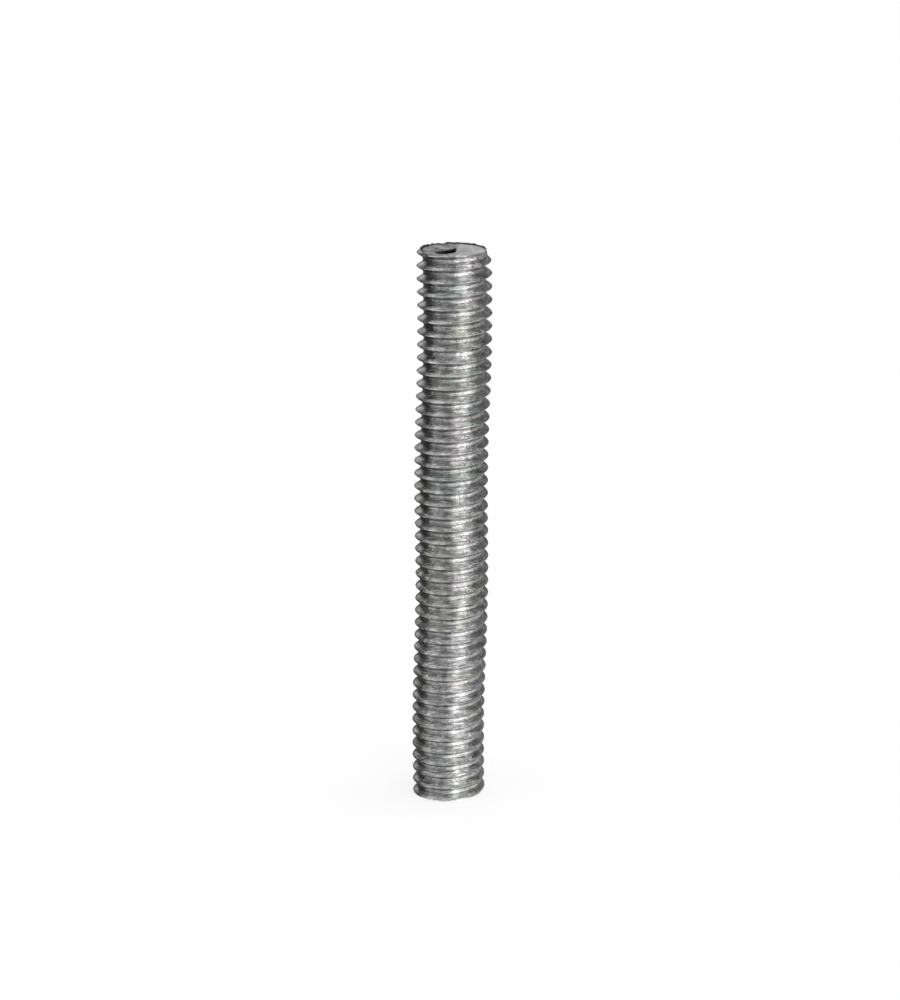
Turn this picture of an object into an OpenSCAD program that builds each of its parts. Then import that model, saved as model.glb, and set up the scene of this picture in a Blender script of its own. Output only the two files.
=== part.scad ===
// A threaded rod: one piece of plated steel with a right-hand thread rolled on it
// from end to end. Both ends are cut square through the thread, and the upper one
// has a hollow beside its middle, where the bar tore as it was cut. The rod stands
// on its lower end, and its axis is the Z axis. All sizes are in millimetres.

/* [Rod] */
// Length from end to end
rod_length = 61; // [20:1:100]

/* [Thread] */
// Diameter over the crests
crest_d = 7.94; // [7:0.02:10]
// Threads in one inch of length
threads_per_inch = 18; // [16:1:24]
// Angle between the two flanks of the groove, in degrees
flank_angle = 60; // [50:1:65]
// Direction in which the crest runs out at the upper end, in degrees from +X
run_out = 266; // [0:1:359]

/* [Torn hollow in the upper end] */
// Diameter of the hollow at the end face
hollow_d = 3; // [1:0.1:4]
// Depth of the hollow
hollow_depth = 0.6; // [0.1:0.05:1.5]
// Distance of the hollow's middle from the rod's axis
hollow_shift = 1.4; // [0:0.05:1.6]
// Direction of the hollow's middle from the axis, in degrees from +X
hollow_direction = 198; // [0:1:359]

/* [Hidden] */

inch = 25.4;
pitch = inch / threads_per_inch;

// The basic profile of the unified thread, of which every size follows the pitch:
// a flat crest, two flanks and a root that is twice as wide as the crest
crest_flat = pitch / 8;
root_flat = pitch / 4;
flank_run = (pitch - crest_flat - root_flat) / 2;
thread_depth = flank_run / tan(flank_angle / 2);
crest_r = crest_d / 2;
root_r = crest_r - thread_depth;

// Heights at which the profile bends, counted up from the middle of a crest
bends = [
    -crest_flat / 2,
    crest_flat / 2,
    crest_flat / 2 + flank_run,
    pitch - crest_flat / 2 - flank_run
];

// Flat sides that make up one turn: as many, in fours, as the most faces allow
most_faces = 11600;
sides = min(32, 4 * floor(most_faces * pitch / rod_length / len(bends) / 8));

// Rows of points up the rod, with two whole turns to spare beyond each end
spare_turns = 2;
turns = ceil(rod_length / pitch) + 2 * spare_turns;
rows = turns * len(bends);
last_row = rows - 1;
nearest_bend = pitch / 50;

// The hollow, as rings of points: the share of its radius at each ring
hollow_rings = [1, 0.8, 0.5];
thinnest_rim = 0.2;
hollow_r = min(hollow_d / 2, root_r - hollow_shift - thinnest_rim);
hollow_x = hollow_shift * cos(hollow_direction);
hollow_y = hollow_shift * sin(hollow_direction);

function angle(side) = 360 * side / sides;

// Height of a crest's middle at an angle, in the turn that is cut by the upper end
function crest_z(a) = rod_length + pitch * (a - run_out) / 360;

// Height of a row of points on one side, before the ends are cut
function row_z(side, row) =
    crest_z(angle(side)) - (turns - spare_turns) * pitch
    + floor(row / len(bends)) * pitch + bends[row % len(bends)];

// Radius of the thread at a height and an angle
function thread_r(z, a) =
    let (
        above = (z - crest_z(a)) / pitch,
        from_crest = abs(above - round(above)) * pitch,
        down_flank = max(0, from_crest - crest_flat / 2)
    )
    max(root_r, crest_r - down_flank / tan(flank_angle / 2));

// The rows at which each side meets the two ends. A bend that comes closer to an
// end than nearest_bend is cut off with it, so that no sliver is left there.
first_rows = [for (s = [0:sides - 1])
    max([for (r = [0:last_row]) if (row_z(s, r) < nearest_bend) r])];
end_rows = [for (s = [0:sides - 1])
    min([for (r = [0:last_row]) if (row_z(s, r) > rod_length - nearest_bend) r])];

function thread_point(side, row) =
    let (
        z = row <= first_rows[side] ? 0 : row >= end_rows[side] ? rod_length : row_z(side, row),
        a = angle(side),
        r = thread_r(z, a)
    )
    [r * cos(a), r * sin(a), z];

function hollow_point(ring, side) =
    let (share = hollow_rings[ring], r = share * hollow_r, a = angle(side))
    [
        hollow_x + r * cos(a),
        hollow_y + r * sin(a),
        rod_length - hollow_depth * (1 - share * share)
    ];

rod_points = concat(
    [for (s = [0:sides - 1], r = [0:last_row]) thread_point(s, r)],
    [for (k = [0:len(hollow_rings) - 1], s = [0:sides - 1]) hollow_point(k, s)],
    [[hollow_x, hollow_y, rod_length - hollow_depth], [0, 0, 0]]
);
hollow_start = sides * rows;
hollow_middle = hollow_start + len(hollow_rings) * sides;
foot_middle = hollow_middle + 1;

// Number of the point at a row of a side. Beyond an end it is the end's own point.
function at(side, row) =
    side * rows + min(max(row, first_rows[side]), end_rows[side]);

// The same on the next side round. One turn on, the rows start one pitch higher,
// so the last side meets the first one a whole set of bends further up its rows.
function at_next(side, row) =
    side < sides - 1 ? at(side + 1, row) : at(0, row + len(bends));

function in_hollow(ring, side) = hollow_start + ring * sides + side % sides;

function is_triangle(f) = f[0] != f[1] && f[1] != f[2] && f[2] != f[0];

thread_faces = [for (s = [0:sides - 1], r = [-len(bends):last_row])
    let (
        low = at(s, r),
        high = at(s, r + 1),
        next_low = at_next(s, r),
        next_high = at_next(s, r + 1)
    )
    each [for (f = [[low, high, next_high], [low, next_high, next_low]]) if (is_triangle(f)) f]];

// The flat of the upper end, from the cut thread in to the edge of the hollow
rim_faces = [for (s = [0:sides - 1])
    let (out = at(s, 2 * rows), next_out = at_next(s, 2 * rows))
    each [
        [out, in_hollow(0, s), next_out],
        [next_out, in_hollow(0, s), in_hollow(0, s + 1)]
    ]];

hollow_faces = [for (k = [0:len(hollow_rings) - 2], s = [0:sides - 1])
    each [
        [in_hollow(k, s), in_hollow(k + 1, s), in_hollow(k, s + 1)],
        [in_hollow(k, s + 1), in_hollow(k + 1, s), in_hollow(k + 1, s + 1)]
    ]];

hollow_floor = [for (s = [0:sides - 1])
    let (k = len(hollow_rings) - 1)
    [in_hollow(k, s), hollow_middle, in_hollow(k, s + 1)]];

foot_faces = [for (s = [0:sides - 1]) [at(s, -rows), at_next(s, -rows), foot_middle]];

module threaded_rod() {
    color([0.62, 0.63, 0.62])
        polyhedron(
            points = rod_points,
            faces = concat(thread_faces, rim_faces, hollow_faces, hollow_floor, foot_faces),
            convexity = 6
        );
}

threaded_rod();
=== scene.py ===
# Threaded rod of zinc-plated steel, standing on its lower end under studio light.
import math

import bpy
import numpy as np
from mathutils import Matrix, Vector, noise


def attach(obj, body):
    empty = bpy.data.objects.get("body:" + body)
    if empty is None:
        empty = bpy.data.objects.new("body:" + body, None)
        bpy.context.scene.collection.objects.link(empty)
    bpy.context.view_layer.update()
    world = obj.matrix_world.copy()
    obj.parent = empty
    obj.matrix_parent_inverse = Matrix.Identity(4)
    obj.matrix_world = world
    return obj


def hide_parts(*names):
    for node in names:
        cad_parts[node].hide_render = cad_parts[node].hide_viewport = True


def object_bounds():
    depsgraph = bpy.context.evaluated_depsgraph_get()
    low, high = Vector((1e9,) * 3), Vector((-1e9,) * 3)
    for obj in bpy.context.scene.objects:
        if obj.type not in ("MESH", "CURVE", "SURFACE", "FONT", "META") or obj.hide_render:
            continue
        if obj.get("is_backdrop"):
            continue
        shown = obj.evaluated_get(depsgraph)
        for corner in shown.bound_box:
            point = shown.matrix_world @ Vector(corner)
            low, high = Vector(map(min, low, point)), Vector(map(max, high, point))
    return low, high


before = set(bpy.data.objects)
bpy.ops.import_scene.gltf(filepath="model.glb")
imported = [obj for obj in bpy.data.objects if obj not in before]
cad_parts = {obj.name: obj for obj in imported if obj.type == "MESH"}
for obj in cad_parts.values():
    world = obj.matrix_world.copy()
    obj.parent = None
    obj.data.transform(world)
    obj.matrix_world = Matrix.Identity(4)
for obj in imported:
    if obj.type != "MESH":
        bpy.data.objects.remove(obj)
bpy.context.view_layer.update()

# The bar and its thread
# The real piece is a cold-drawn steel bar that was rolled between flat dies, which
# pressed the grooves in and pushed the crests up. The thread is a right-hand one
# with flanks at 60 degrees, rounded in the root and a little on the crest.
MM = 0.001
ROD_LENGTH = 61.0
CREST_R = 3.985
PITCH = 25.4 / 18
RUN_OUT = math.radians(266)

# The profile, in pitches: depth, half the crest's flat, and how far it is rounded
THREAD_DEPTH = 0.49
CREST_HALF = 0.055
CREST_ROUND = 0.15
ROOT_ROUND = 0.16
FLANK_SLOPE = 1 / math.tan(math.radians(30))

# Places across one pitch, from root to root, where the profile has a point
ACROSS = np.array([
    -0.5, -0.45, -0.40, -0.36, -0.31, -0.24, -0.17, -0.125, -0.09, -0.05,
    0.0, 0.05, 0.09, 0.125, 0.17, 0.24, 0.31, 0.36, 0.40, 0.45,
])
SECTIONS = 104
SPARE_TURNS = 2
TURNS = math.ceil(ROD_LENGTH / PITCH) + 2 * SPARE_TURNS
ROWS = TURNS * len(ACROSS)


def smooth_least(a, b, width):
    """The smaller of two numbers, with the corner between them rounded."""
    near = np.maximum(width - np.abs(a - b), 0) / width
    return np.minimum(a, b) - near * near * width / 4


def thread_depth_at(from_crest):
    """Depth below the crest, in pitches, at a distance from its middle in pitches."""
    flank = (np.abs(from_crest) - CREST_HALF) * FLANK_SLOPE
    below_crest = -smooth_least(-flank, 0 * flank, CREST_ROUND)
    return smooth_least(below_crest, THREAD_DEPTH + 0 * flank, ROOT_ROUND)


def turns_from_crest(z, turn_angle):
    """How far a point lies above the middle of the crest nearest to it, in pitches."""
    above = (z - ROD_LENGTH) / PITCH - (turn_angle - RUN_OUT) / (2 * math.pi)
    return above - np.round(above)


angles = np.arange(SECTIONS) * 2 * math.pi / SECTIONS
turn_of_row = np.repeat(np.arange(TURNS), len(ACROSS)) - (TURNS - SPARE_TURNS)
place_of_row = np.tile(ACROSS, TURNS)
row_z = (
    ROD_LENGTH
    + PITCH * (angles[:, None] - RUN_OUT) / (2 * math.pi)
    + PITCH * (turn_of_row + place_of_row)[None, :]
)

# A row closer to an end than this is cut off with it, so that no sliver is left
NEAREST_ROW = PITCH / 120
first_row = np.array([np.nonzero(z < NEAREST_ROW)[0].max() for z in row_z])
end_row = np.array([np.nonzero(z > ROD_LENGTH - NEAREST_ROW)[0].min() for z in row_z])

# Each seed of the noise below lies this far from the one before
SEED_SHIFT_X, SEED_SHIFT_Y, SEED_SHIFT_Z = 17.3, -5.1, 9.7


def soft_noise(x, y, z, size, seed):
    """Smooth noise from -1 to 1 at a place in millimetres, for bumps of one size."""
    return noise.noise(Vector((
        x / size + seed * SEED_SHIFT_X,
        y / size + seed * SEED_SHIFT_Y,
        z / size + seed * SEED_SHIFT_Z,
    )))


# Rolling left the bar a little bent, in a slow wave from side to side
BEND = 0.11
BEND_LENGTH = 28.2
BEND_PEAK = 51.5


def bend_at(z):
    """Sideways stray of the bar's axis at a height."""
    return BEND * math.cos(2 * math.pi * (z - BEND_PEAK) / BEND_LENGTH)


# Dents that handling left on the crests: height, direction, size and depth of each
dent_random = np.random.default_rng(7)
DENTS = 95
dent_z = dent_random.uniform(1, ROD_LENGTH - 0.5, DENTS)
dent_angle = dent_random.uniform(0, 2 * math.pi, DENTS)
dent_size = dent_random.uniform(0.12, 0.42, DENTS)
dent_depth = dent_random.uniform(0.03, 0.15, DENTS)
DENT_FLATNESS = 1.3
DEEPEST_DENT = 0.2

# Wear left the lower part shallower at both sides: the share of the depth that is
# gone, the height below which it is, and how gradually it goes
LEFT_WEAR = (0.31, 31, 2.5)
RIGHT_WEAR = (0.20, 43, 2.5)
FOOT_WEAR = (0.24, 14, 2.0)


def gone_below(z, wear):
    """Share of the depth that a kind of wear took at a height."""
    share, top, width = wear
    return share * (1 / (1 + math.exp((z - top) / width)))


def shallower(z, a):
    """Share by which the worn lower part of the thread is shallower than the upper."""
    to_left = max(0.0, -math.cos(a)) ** 4
    to_right = max(0.0, math.cos(a)) ** 4
    at_right = gone_below(z, RIGHT_WEAR) + gone_below(z, FOOT_WEAR)
    return gone_below(z, LEFT_WEAR) * to_left + to_right * at_right


# Unevenness of the rolled surface: height, stretch along the rod, size and seed
UNEVENNESS = [
    (0.012, 2.5, 0.9, 2),
    (0.006, 3, 0.35, 3),
]
SWELL_HEIGHT, SWELL_SIZE = 0.022, 2.6
CREST_REACH = 0.35

# The smeared first groove: how far down it goes in pitches, its radius as a share of
# the crest's and how much of the groove it fills. The top crest is bent in beside it.
SMEAR_REACH = 0.62
SMEAR_FILL = 0.85
SMEAR_TOP, SMEAR_WIDENS = 0.85, 0.10
SMEAR_SIDE = math.radians(5)
BENT_IN, BENT_REACH = 0.12, 0.75


def surface_point(z, a):
    """Radius of the worn thread at a height and an angle, and how deep it lies there."""
    from_crest = float(turns_from_crest(z, a))
    depth = float(thread_depth_at(np.float64(from_crest))) * PITCH * (1 - shallower(z, a))
    r = CREST_R - depth
    x = r * math.cos(a)
    y = r * math.sin(a)
    on_crest = max(0.0, 1 - depth / (CREST_REACH * PITCH))
    # Slow swelling of the crests, then the small unevenness of a rolled surface
    r += SWELL_HEIGHT * soft_noise(x, y, z, SWELL_SIZE, 1) * on_crest
    for height, stretch, size, seed in UNEVENNESS:
        r += height * soft_noise(x, y, z * stretch, size, seed)
    # Dents press the crest in
    away_round = CREST_R * np.angle(np.exp(1j * (a - dent_angle)))
    away = np.hypot((z - dent_z) * DENT_FLATNESS, away_round)
    pressed = float(np.sum(dent_depth * np.exp(-((away / dent_size) ** 2))))
    r -= min(pressed, DEEPEST_DENT) * (0.35 + 0.65 * on_crest)
    # The shears smeared the first groove over on the right, and bent the top crest
    below_top = (ROD_LENGTH - z) / PITCH
    to_right = max(0.0, math.cos(a - SMEAR_SIDE)) ** 5
    smear = math.exp(-((below_top / SMEAR_REACH) ** 4)) * min(1.0, 1.4 * to_right)
    smeared_r = CREST_R * (SMEAR_TOP + SMEAR_WIDENS * min(below_top, 1.0))
    r = r + (smeared_r - r) * smear * SMEAR_FILL
    bent = BENT_IN * math.exp(-((below_top / BENT_REACH) ** 2)) * on_crest
    r -= bent * (0.4 + 0.6 * max(0.0, math.cos(a)))
    return r, depth / (THREAD_DEPTH * PITCH)


points = []
# Per point: depth in the groove; on the upper end, torn steel and painted shade in the pit
depth_and_end_shade = []
number = {}
for s in range(SECTIONS):
    for row in range(first_row[s], end_row[s] + 1):
        z = float(row_z[s, row])
        if row == first_row[s]:
            z = 0.0
        if row == end_row[s]:
            z = ROD_LENGTH
        a = float(angles[s])
        r, sunk = surface_point(z, a)
        number[s, row] = len(points)
        points.append([r * math.cos(a) + bend_at(z), r * math.sin(a), z])
        depth_and_end_shade.append(sunk)


def point_number(s, row):
    """Number of the point at a row of a section, or of the end that cuts it off."""
    if s == SECTIONS:
        s = 0
        row += len(ACROSS)
    return number[s, min(max(row, first_row[s]), end_row[s])]


# Each corner gets its place on the unrolled thread, for the lines that rolling left:
# across the groove stretched, with a step from turn to turn that hides repeats
faces = []
corner_places = []
face_finish = []
PLATED, CUT = 0, 1
TURN_LENGTH = 2 * math.pi * CREST_R
LINE_STRETCH = 1.6
LINE_STEP = 7.13
for s in range(SECTIONS):
    for row in range(-len(ACROSS), ROWS):
        corners = [
            (s, row),
            (s + 1, row),
            (s + 1, row + 1),
            (s, row + 1),
        ]
        ids = [point_number(*c) for c in corners]
        # Corners that an end cuts off fall together, and are kept once
        kept = [i for i in range(4) if ids[i] != ids[i - 1]]
        if len(kept) < 3 or len(set(ids[i] for i in kept)) < 3:
            continue
        faces.append([ids[i] for i in kept])
        turn = math.floor(row / len(ACROSS))
        for i in kept:
            across = (corners[i][1] - turn * len(ACROSS)) / len(ACROSS)
            along = turn + corners[i][0] / SECTIONS
            line_place = across * PITCH * LINE_STRETCH + turn * LINE_STEP
            corner_places.append((along * TURN_LENGTH, line_place))
        face_finish.append(PLATED)

# The upper end
# The bar was sheared to length. The blades left a torn hollow to the left of the
# middle, a smooth patch on the right, a ragged edge at the back and small burrs.
END_RINGS = 44

# The hollow: its right wall, the corner and the slant of its back, the distance of
# its outer lip from the axis, the slant and the place of its front, and its depth
PIT_RIGHT = 0.25
PIT_LEFT, PIT_LEFT_Y = -2.45, -1.1
PIT_SLANT = 1.0
LIP_R = 2.5
FRONT_SLANT, FRONT_Y = 1.2, -1.3
PIT_DEPTH = 0.75
FALL_TO_PIT = 0.12

# The rim: where it starts as a share of the radius, how far it is turned up at the
# back, how ragged it is there and in front, and the height of the burrs
RIM_START, RIM_WIDTH = 0.93, 0.05
TURNED_UP = 0.11
RAGGED_BACK, RAGGED_FRONT = 0.16, 0.20
BURR_HEIGHT = 0.14


def rise(value, width):
    """0 below 0, 1 beyond a width, and a smooth step between."""
    share = min(1.0, max(0.0, value / width))
    return share * share * (3 - 2 * share)


def end_height(x, y, share):
    """Height of the sheared face above the rod's length, and how dark it is there: torn steel,
    and painted shade in the pit.
    """
    wander = 0.20 * soft_noise(x, y, 1.0, 0.8, 4) + 0.12 * soft_noise(x, y, 1.0, 0.3, 4)
    # The pit has a steep wall on the right, a lip in front and a slanting back
    inside_back = (PIT_SLANT * (x - PIT_LEFT) + PIT_LEFT_Y - y) / math.hypot(1, PIT_SLANT)
    pit = rise(inside_back + wander, 0.6)
    pit *= rise(PIT_RIGHT - x + wander / 2, 0.3)
    pit *= rise(LIP_R - math.hypot(x, y) + wander, 0.3)
    pit *= rise(y - FRONT_SLANT * x - FRONT_Y + wander, 0.4)
    height = -PIT_DEPTH * pit
    # Left of the pit the face is rough and falls a little towards it
    left = rise(PIT_RIGHT + 0.3 - x, 0.6)
    height -= FALL_TO_PIT * left * rise(inside_back + 1.6, 1.6)
    height += (0.25 + 0.75 * left) * (
        0.05 * soft_noise(x, y, 0, 0.8, 5) + 0.04 * soft_noise(x, y, 0, 0.28, 6))
    # The rim: ragged and turned up at the back, burred at the front left
    rim = rise(share - RIM_START, RIM_WIDTH)
    ragged = soft_noise(x, y, 3.0, 0.4, 8)
    at_back = rise(y + 0.6, 1.2)
    height += rim * at_back * (TURNED_UP + RAGGED_BACK * ragged)
    height += rim * (1 - at_back) * (RAGGED_FRONT * ragged - 0.02)
    height += rim * BURR_HEIGHT * max(0.0, -math.sin(math.atan2(y, x) + 0.6))
    # Dark: painted shade in the pit, and torn steel in patches to its left and on the rim at
    # the back and left
    in_patch = 0.40 * left * (1 + 1.4 * soft_noise(x, y, 5.0, 0.5, 9))
    at_left = rise(-x - 1.6, 1.0)
    on_rim = rise(share - 0.90, 0.03) * max(at_back, at_left) * min(1.0, 0.7 + abs(ragged))
    torn_and_pit_shade = max(rise(pit, 0.12), in_patch, on_rim)
    return height, min(1.0, torn_and_pit_shade)


top_loop = [number[s, end_row[s]] for s in range(SECTIONS)]
top_centre = (bend_at(ROD_LENGTH), 0.0)
for i in top_loop:
    x, y, z = points[i]
    points[i][2] = ROD_LENGTH + end_height(x - top_centre[0], y, 1.0)[0]
rings = [top_loop]
for k in range(1, END_RINGS):
    share = 1 - k / END_RINGS
    ring = []
    for i in top_loop:
        x = (points[i][0] - top_centre[0]) * share
        y = points[i][1] * share
        ring.append(len(points))
        height, torn_and_pit_shade = end_height(x, y, share)
        points.append([x + top_centre[0], y, ROD_LENGTH + height])
        depth_and_end_shade.append(torn_and_pit_shade)
    rings.append(ring)
top_middle = len(points)
height, torn_and_pit_shade = end_height(0.0, 0.0, 0.0)
points.append([top_centre[0], 0.0, ROD_LENGTH + height])
depth_and_end_shade.append(torn_and_pit_shade)

# The ends lie away from the thread on the map of the rolled lines
END_SHIFT = 400


def add_cut_face(ids):
    """Adds a face of a cut end, whose finish follows its place."""
    faces.append(ids)
    face_finish.append(CUT)
    for i in ids:
        corner_places.append((points[i][0] + END_SHIFT, points[i][1] + END_SHIFT))


for outer, inner in zip(rings, rings[1:]):
    for s in range(SECTIONS):
        t = (s + 1) % SECTIONS
        add_cut_face([outer[s], outer[t], inner[t], inner[s]])
for s in range(SECTIONS):
    add_cut_face([rings[-1][s], rings[-1][(s + 1) % SECTIONS], top_middle])

# The lower end
# It was cut square in the same way, and is flat, so that the rod stands on it.
foot_loop = [number[s, first_row[s]] for s in range(SECTIONS)]
foot_middle = len(points)
points.append([bend_at(0), 0.0, 0.0])
depth_and_end_shade.append(0.0)
for s in range(SECTIONS):
    add_cut_face([foot_loop[(s + 1) % SECTIONS], foot_loop[s], foot_middle])

# The thread and both ends make one closed skin, with crisp edges where it was cut
rod_mesh = bpy.data.meshes.new("threaded_rod_worn")
rod_mesh.from_pydata([[c * MM for c in p] for p in points], [], faces)
rod_mesh.polygons.foreach_set("material_index", face_finish)
rod_mesh.polygons.foreach_set("use_smooth", [True] * len(faces))
line_map = rod_mesh.uv_layers.new(name="rolled_lines")
line_map.data.foreach_set("uv", np.array(corner_places, dtype=np.float32).ravel())
groove_depth = rod_mesh.attributes.new("groove_depth", "FLOAT", "POINT")
groove_depth.data.foreach_set("value", np.array(depth_and_end_shade, dtype=np.float32))
SHARP_ANGLE = math.radians(50)
rod_mesh.set_sharp_from_angle(angle=SHARP_ANGLE)
rod_mesh.validate()
rod = bpy.data.objects.new("threaded_rod_worn", rod_mesh)
bpy.context.scene.collection.objects.link(rod)


# The zinc plating
# The bar was plated and brightened after rolling. The zinc is thin and bright, with faint
# cloudy tints, and the rolling lines and the dirt in the grooves show; the grooves and their
# roots also carry painted shade.
def plain_material(name):
    """A new material, with its tree of nodes and its shader."""
    material = bpy.data.materials.new(name)
    material.use_nodes = True
    tree = material.node_tree
    return material, tree, tree.nodes["Principled BSDF"]


def add_noise(tree, source, scale, detail, roughness=0.55):
    """Cloudy noise over the places that a socket gives."""
    node = tree.nodes.new("ShaderNodeTexNoise")
    node.inputs["Scale"].default_value = scale
    node.inputs["Detail"].default_value = detail
    node.inputs["Roughness"].default_value = roughness
    tree.links.new(source, node.inputs["Vector"])
    return node.outputs["Fac"]


def add_ramp(tree, source, stops):
    """A ramp of colours over the values of a socket."""
    node = tree.nodes.new("ShaderNodeValToRGB")
    ramp = node.color_ramp
    while len(ramp.elements) < len(stops):
        ramp.elements.new(0.5)
    for element, (place, colour) in zip(ramp.elements, stops):
        element.position = place
        element.color = (*colour, 1)
    tree.links.new(source, node.inputs["Fac"])
    return node.outputs["Color"]


def add_mix(tree, kind, share, first, second):
    """Mixes two colours, with a share that is a number or a socket."""
    node = tree.nodes.new("ShaderNodeMix")
    node.data_type = "RGBA"
    node.blend_type = kind
    sockets = (node.inputs[0], node.inputs[6], node.inputs[7])
    for value, socket in zip((share, first, second), sockets):
        if isinstance(value, bpy.types.NodeSocket):
            tree.links.new(value, socket)
        elif isinstance(value, tuple):
            socket.default_value = (*value, 1)
        else:
            socket.default_value = value
    return node.outputs[2]


def add_range(tree, source, low, high, new_low, new_high):
    """Stretches a socket's values from one range to another."""
    node = tree.nodes.new("ShaderNodeMapRange")
    node.inputs["From Min"].default_value = low
    node.inputs["From Max"].default_value = high
    node.inputs["To Min"].default_value = new_low
    node.inputs["To Max"].default_value = new_high
    tree.links.new(source, node.inputs["Value"])
    return node.outputs["Result"]


def add_scaled(tree, source, scale):
    """The places that a socket gives, stretched along each axis."""
    node = tree.nodes.new("ShaderNodeMapping")
    node.inputs["Scale"].default_value = scale
    tree.links.new(source, node.inputs["Vector"])
    return node.outputs["Vector"]


def add_bump(tree, height, strength, distance, under=None):
    """Bumps of a height that a socket gives, over the bumps under them."""
    node = tree.nodes.new("ShaderNodeBump")
    node.inputs["Strength"].default_value = strength
    node.inputs["Distance"].default_value = distance
    tree.links.new(height, node.inputs["Height"])
    if under is not None:
        tree.links.new(under, node.inputs["Normal"])
    return node.outputs["Normal"]


zinc, zinc_tree, zinc_shader = plain_material("zinc_plate")
places = zinc_tree.nodes.new("ShaderNodeTexCoord").outputs["Object"]
lines_map = zinc_tree.nodes.new("ShaderNodeUVMap")
lines_map.uv_map = "rolled_lines"
lines = lines_map.outputs["UV"]


def add_groove_depth(tree):
    """How deep the surface lies in a groove of the thread; on the upper end, how dark it is:
    torn steel, and painted shade in the pit.
    """
    node = tree.nodes.new("ShaderNodeAttribute")
    node.attribute_name = "groove_depth"
    return node.outputs["Fac"]


groove = add_groove_depth(zinc_tree)

# Bright grey, with faint green, violet and warm clouds, and lighter and darker spots
GREY = (0.745, 0.745, 0.74)
cloud = add_noise(zinc_tree, places, 230, 3)
tint = add_ramp(zinc_tree, cloud, [
    (0.30, (0.65, 0.735, 0.71)),
    (0.42, GREY),
    (0.52, (0.755, 0.735, 0.758)),
    (0.60, (0.71, 0.75, 0.69)),
    (0.70, (0.80, 0.755, 0.70)),
])
blotch = add_noise(zinc_tree, places, 900, 4)
blotch_shade = add_range(zinc_tree, blotch, 0.35, 0.65, 0.61, 1.20)
shaded = add_mix(zinc_tree, "MULTIPLY", 1.0, tint, blotch_shade)
# Dirt in patches along the grooves, mixed with painted shade that grows with the groove's
# depth, and a painted shade line at the root
DIRT_AND_SHADE = (0.16, 0.155, 0.14)
dirt_and_shade_share = add_range(zinc_tree, groove, 0.55, 1.0, 0.0, 0.26)
dirt_noise = add_noise(zinc_tree, places, 500, 3)
dirt_patch = add_range(zinc_tree, dirt_noise, 0.35, 0.65, 0.3, 1.0)
dirt_and_shade_share = add_mix(zinc_tree, "MULTIPLY", 1.0, dirt_and_shade_share, dirt_patch)
shaded = add_mix(zinc_tree, "MIX", dirt_and_shade_share, shaded, DIRT_AND_SHADE)
# Painted shade: the deepest part of the root is darkened
root_painted_shade = add_range(zinc_tree, groove, 0.86, 1.0, 1.0, 0.86)
shaded = add_mix(zinc_tree, "MULTIPLY", 1.0, shaded, root_painted_shade)
# Dark scratches and specks that run along the thread
scratch = add_noise(zinc_tree, add_scaled(zinc_tree, lines, (0.6, 19.0, 1.0)), 1.0, 3)
scratched = add_range(zinc_tree, scratch, 0.525, 0.59, 0.0, 0.9)
shaded = add_mix(zinc_tree, "MIX", scratched, shaded, (0.17, 0.17, 0.16))
speck = add_noise(zinc_tree, add_scaled(zinc_tree, lines, (2.4, 9.0, 1.0)), 1.6, 3)
specked = add_range(zinc_tree, speck, 0.56, 0.64, 0.0, 0.68)
shaded = add_mix(zinc_tree, "MIX", specked, shaded, (0.15, 0.15, 0.14))
# A fine dark grain, which is stronger on the right and in the upper part
grain = add_noise(zinc_tree, places, 4200, 1)
grained = add_range(zinc_tree, grain, 0.57, 0.67, 0.0, 0.86)
side = zinc_tree.nodes.new("ShaderNodeSeparateXYZ")
zinc_tree.links.new(places, side.inputs["Vector"])
dirtier_side = add_range(zinc_tree, side.outputs["X"], -0.0005, 0.002, 0.3, 1.0)
dirtier_half = add_range(zinc_tree, side.outputs["Z"], 0.018, 0.034, 0.3, 1.0)
grained = add_mix(zinc_tree, "MULTIPLY", 1.0, grained, dirtier_side)
grained = add_mix(zinc_tree, "MULTIPLY", 1.0, grained, dirtier_half)
shaded = add_mix(zinc_tree, "MIX", grained, shaded, (0.13, 0.13, 0.12))
zinc_tree.links.new(shaded, zinc_shader.inputs["Base Color"])
zinc_shader.inputs["Metallic"].default_value = 1.0
# Gloss in streaks and spots, a little duller on the worn crests
streak = add_noise(zinc_tree, add_scaled(zinc_tree, lines, (0.6, 7.0, 1.0)), 1.0, 6, 0.65)
gloss = add_mix(zinc_tree, "MIX", 0.5, streak, blotch)
gloss = add_range(zinc_tree, gloss, 0.35, 0.65, 0.05, 0.17)
worn = add_range(zinc_tree, groove, 0.05, 0.30, 0.04, 0.0)
gloss = add_mix(zinc_tree, "ADD", 1.0, gloss, worn)
zinc_tree.links.new(gloss, zinc_shader.inputs["Roughness"])
# Fine relief: the rolled streaks, soft lumps and small pits
pits = add_noise(zinc_tree, places, 3200, 3)
lumps = add_noise(zinc_tree, places, 1100, 2)
bumps = add_bump(zinc_tree, streak, 0.75, 0.00008)
bumps = add_bump(zinc_tree, lumps, 0.58, 0.00009, bumps)
bumps = add_bump(zinc_tree, pits, 0.5, 0.00003, bumps)
zinc_tree.links.new(bumps, zinc_shader.inputs["Normal"])

# The cut steel of the ends
# It is bare and duller than the plating. Where it tore, at the rim and in patches, it is rough
# and nearly black, and has no sheen.
# The hollow gets the same near black as painted shade.
TORN_STEEL_AND_PIT_SHADE = (0.016, 0.014, 0.012)
bare, bare_tree, bare_shader = plain_material("cut_steel")
bare_places = bare_tree.nodes.new("ShaderNodeTexCoord").outputs["Object"]
torn_and_pit_shade_share = add_groove_depth(bare_tree)
bare_cloud = add_noise(bare_tree, bare_places, 700, 4)
bare_tint = add_ramp(bare_tree, bare_cloud, [
    (0.3, (0.46, 0.45, 0.43)),
    (0.5, (0.62, 0.62, 0.63)),
    (0.7, (0.72, 0.72, 0.75)),
])
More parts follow.
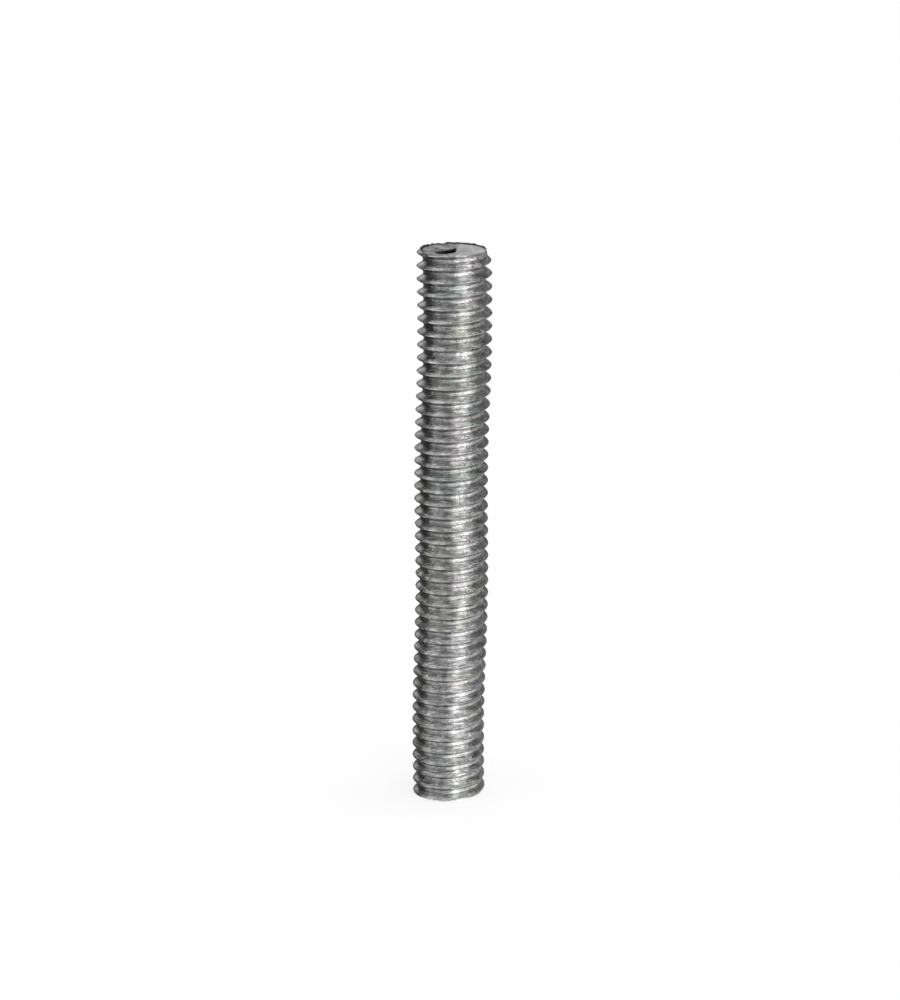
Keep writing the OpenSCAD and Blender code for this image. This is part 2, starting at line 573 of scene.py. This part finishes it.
# Torn steel, and painted shade in the pit, in near black
bare_tint = add_mix(bare_tree, "MIX", torn_and_pit_shade_share, bare_tint, TORN_STEEL_AND_PIT_SHADE)
bare_tree.links.new(bare_tint, bare_shader.inputs["Base Color"])
metal_share = add_range(bare_tree, torn_and_pit_shade_share, 0, 1, 1, 0)
bare_tree.links.new(metal_share, bare_shader.inputs["Metallic"])
bare_shader.inputs["Specular IOR Level"].default_value = 0.0
# The blades left fine parallel lines
bare_grain = add_noise(bare_tree, add_scaled(bare_tree, bare_places, (2600, 700, 700)), 1.0, 3)
bare_gloss = add_range(bare_tree, bare_grain, 0.3, 0.7, 0.38, 0.6)
bare_tree.links.new(bare_gloss, bare_shader.inputs["Roughness"])
bare_relief = add_bump(bare_tree, bare_grain, 0.5, 0.00005)
bare_tree.links.new(bare_relief, bare_shader.inputs["Normal"])

rod_mesh.materials.append(zinc)
rod_mesh.materials.append(bare)
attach(rod, "root")
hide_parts("threaded_rod")

# The floor
# A smooth white board that the rod stands on. It looks white to the camera, and
# takes the rod's soft shadow. The metal mirrors the studio's own dull table instead.
FLOOR_HALF = 3.0
FLOOR_GLOW = 0.69
floor_mesh = bpy.data.meshes.new("floor")
floor_mesh.from_pydata(
    [(-FLOOR_HALF, -FLOOR_HALF, 0), (FLOOR_HALF, -FLOOR_HALF, 0),
     (FLOOR_HALF, FLOOR_HALF, 0), (-FLOOR_HALF, FLOOR_HALF, 0)],
    [], [(0, 1, 2, 3)])
floor = bpy.data.objects.new("floor", floor_mesh)
bpy.context.scene.collection.objects.link(floor)
floor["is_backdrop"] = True
board, board_tree, board_shader = plain_material("white_board")
board_shader.inputs["Base Color"].default_value = (0.5, 0.5, 0.5, 1)
board_shader.inputs["Roughness"].default_value = 0.9
board_shader.inputs["Specular IOR Level"].default_value = 0.0
board_shader.inputs["Emission Color"].default_value = (1, 1, 1, 1)
rays = board_tree.nodes.new("ShaderNodeLightPath")
glow = add_range(board_tree, rays.outputs["Is Camera Ray"], 0, 1, 0, FLOOR_GLOW)
board_tree.links.new(glow, board_shader.inputs["Emission Strength"])
floor_mesh.materials.append(board)
floor.visible_glossy = False

# The studio
# One wide, soft lamp above on the right. A white backdrop behind the rod, and round
# it grey walls and a grey table, with a bright window in front on the right.
world = bpy.data.worlds.new("studio")
bpy.context.scene.world = world
world.use_nodes = True
sky = world.node_tree
sky_shader = sky.nodes["Background"]
direction = sky.nodes.new("ShaderNodeTexCoord").outputs["Generated"]


def toward(way, full, none):
    """1 within an angle of a direction, falling to 0 at a wider angle, in degrees."""
    node = sky.nodes.new("ShaderNodeVectorMath")
    node.operation = "DOT_PRODUCT"
    sky.links.new(direction, node.inputs[0])
    node.inputs[1].default_value = Vector(way).normalized()
    return add_range(
        sky, node.outputs["Value"],
        math.cos(math.radians(none)), math.cos(math.radians(full)), 0.0, 1.0)


# Brightness of the surroundings by how far round the rod's own surface a person in
# front sees them mirrored, at five heights from the table up to the ceiling. Each list
# gives degrees from the middle to the right, and a level. Table and wall are bright in
# the window's light a little right of the middle, and dark at both edges. The levels
# were fitted to the brightness of a photograph of the rod, and are no real studio's.
SKY_STRENGTH = 5.8
NEAR_TABLE = [
    (-88, 0.08), (-62, 0.05), (-46, 0.14), (-36, 1.60), (-15, 1.08), (4, 0.74),
    (7, 1.8), (24, 1.9), (31, 0.95), (45, 0.75), (60, 0.55), (76, 0.45), (88, 0.12),
]
FAR_TABLE = [
    (-88, 0.08), (-75, 0.12), (-62, 0.045), (-46, 0.045), (-38, 0.24), (-28, 0.36),
    (-15, 0.42), (-2, 0.42), (4, 0.46), (7, 4.3), (17, 5.4), (26, 4.6),
    (31, 1.15), (46, 0.80), (60, 0.58), (76, 0.40), (88, 0.12),
]
FRONT_LOW = [
    (-88, 0.12), (-75, 0.20), (-62, 0.07), (-50, 0.07), (-38, 0.15), (-28, 0.20),
    (-15, 0.32), (-3, 0.36), (4, 0.38), (7, 2.0), (22, 2.2), (28, 0.65),
    (38, 0.36), (50, 0.30), (62, 0.24), (76, 0.24), (88, 0.10),
]
FRONT_HIGH = [
    (-88, 0.12), (-75, 0.20), (-62, 0.12), (-52, 0.24), (-42, 0.92), (-28, 1.15),
    (-15, 0.84), (-3, 0.40), (5, 0.25), (12, 0.22), (24, 0.22), (31, 0.18),
    (38, 0.14), (50, 0.12), (62, 0.12), (76, 0.18), (88, 0.10),
]
CEILING = [
    (-88, 0.08), (-62, 0.05), (-46, 0.10), (-38, 0.50), (-15, 0.36), (5, 0.20),
    (9, 0.35), (24, 0.35), (31, 0.24), (46, 0.20), (60, 0.18), (88, 0.12),
]
# Height at which each list starts to take over from the one before, and has done so,
# as the upward share of a direction
HEIGHTS = [
    (-0.44, -0.30, FAR_TABLE),
    (-0.10, 0.06, FRONT_LOW),
    (0.46, 0.62, FRONT_HIGH),
    (0.92, 0.98, CEILING),
]
# The part of the rod that mirrors a direction to the front lies half as far round as
# the direction does. A little less than 1 keeps this smooth straight behind the rod.
BEHIND = 0.97
parts = sky.nodes.new("ShaderNodeSeparateXYZ")
sky.links.new(direction, parts.inputs["Vector"])
from_behind = sky.nodes.new("ShaderNodeMath")
from_behind.operation = "SUBTRACT"
from_behind.inputs[0].default_value = BEHIND
sky.links.new(parts.outputs["Y"], from_behind.inputs[1])
round_rod = sky.nodes.new("ShaderNodeMath")
round_rod.operation = "ARCTAN2"
sky.links.new(parts.outputs["X"], round_rod.inputs[0])
sky.links.new(from_behind.outputs["Value"], round_rod.inputs[1])
round_share = add_range(sky, round_rod.outputs["Value"], -math.pi / 2, math.pi / 2, 0, 1)


def add_levels(levels):
    """Brightness round the rod, from a list of directions in degrees and levels."""
    return add_ramp(sky, round_share, [
        (degrees / 180 + 0.5, (level / SKY_STRENGTH,) * 3) for degrees, level in levels
    ])


walls = add_levels(NEAR_TABLE)
for low, high, levels in HEIGHTS:
    above = add_range(sky, parts.outputs["Z"], low, high, 0, 1)
    walls = add_mix(sky, "MIX", above, walls, add_levels(levels))
# The white backdrop behind the rod, which the metal mirrors too, and a grey screen to
# the left of it
BACKDROP = (1 / SKY_STRENGTH,) * 3
SCREEN = (0.10, 0.10, 0.10)
walls = add_mix(sky, "MIX", toward((0, 1, 0.18), 8, 14), walls, BACKDROP)
walls = add_mix(sky, "MIX", toward((-0.40, 0.88, 0.30), 9, 20), walls, SCREEN)
camera_ray = sky.nodes.new("ShaderNodeLightPath").outputs["Is Camera Ray"]
walls = add_mix(sky, "MIX", camera_ray, walls, BACKDROP)
sky.links.new(walls, sky_shader.inputs["Color"])
sky_shader.inputs["Strength"].default_value = SKY_STRENGTH

# The lamp is square, and faces the rod's middle
ROD_MIDDLE = Vector((0, 0, ROD_LENGTH * MM / 2))
LAMP_SIZE = 0.9
LAMP_POWER = 7.0
LAMP_DISTANCE = 2.0
lamp_data = bpy.data.lights.new("lamp_above_right", "AREA")
lamp_data.shape = "RECTANGLE"
lamp_data.size = LAMP_SIZE
lamp_data.size_y = LAMP_SIZE
lamp_data.energy = LAMP_POWER
lamp = bpy.data.objects.new("lamp_above_right", lamp_data)
toward_lamp = Vector((0.24, 0.10, 0.95)).normalized()
lamp.location = ROD_MIDDLE + toward_lamp * LAMP_DISTANCE
lamp.rotation_euler = toward_lamp.to_track_quat("Z", "Y").to_euler()
bpy.context.scene.collection.objects.link(lamp)

# The camera
# It looks at the rod from the front and a little above, as the photographer did, and is
# held a little askew. Its place is in metres.
CAMERA_PLACE = (-0.00019, -0.247676, 0.107447)
LOOKS_DOWN = math.radians(16.5895)
HELD_ASKEW = math.radians(0.644)
camera_data = bpy.data.cameras.new("camera")
camera_data.sensor_width = 36
camera_data.lens = 86.4
camera_data.clip_start = 0.01
camera_data.clip_end = 20
camera = bpy.data.objects.new("camera", camera_data)
bpy.context.scene.collection.objects.link(camera)
level_to_front = Matrix.Rotation(math.pi / 2 - LOOKS_DOWN, 4, "X")
askew = Matrix.Rotation(HELD_ASKEW, 4, "Z")
camera.matrix_world = Matrix.Translation(CAMERA_PLACE) @ level_to_front @ askew
bpy.context.scene.camera = camera
bpy.context.scene.view_settings.view_transform = "Standard"

# The box of the shown objects, leaving out the floor
low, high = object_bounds()
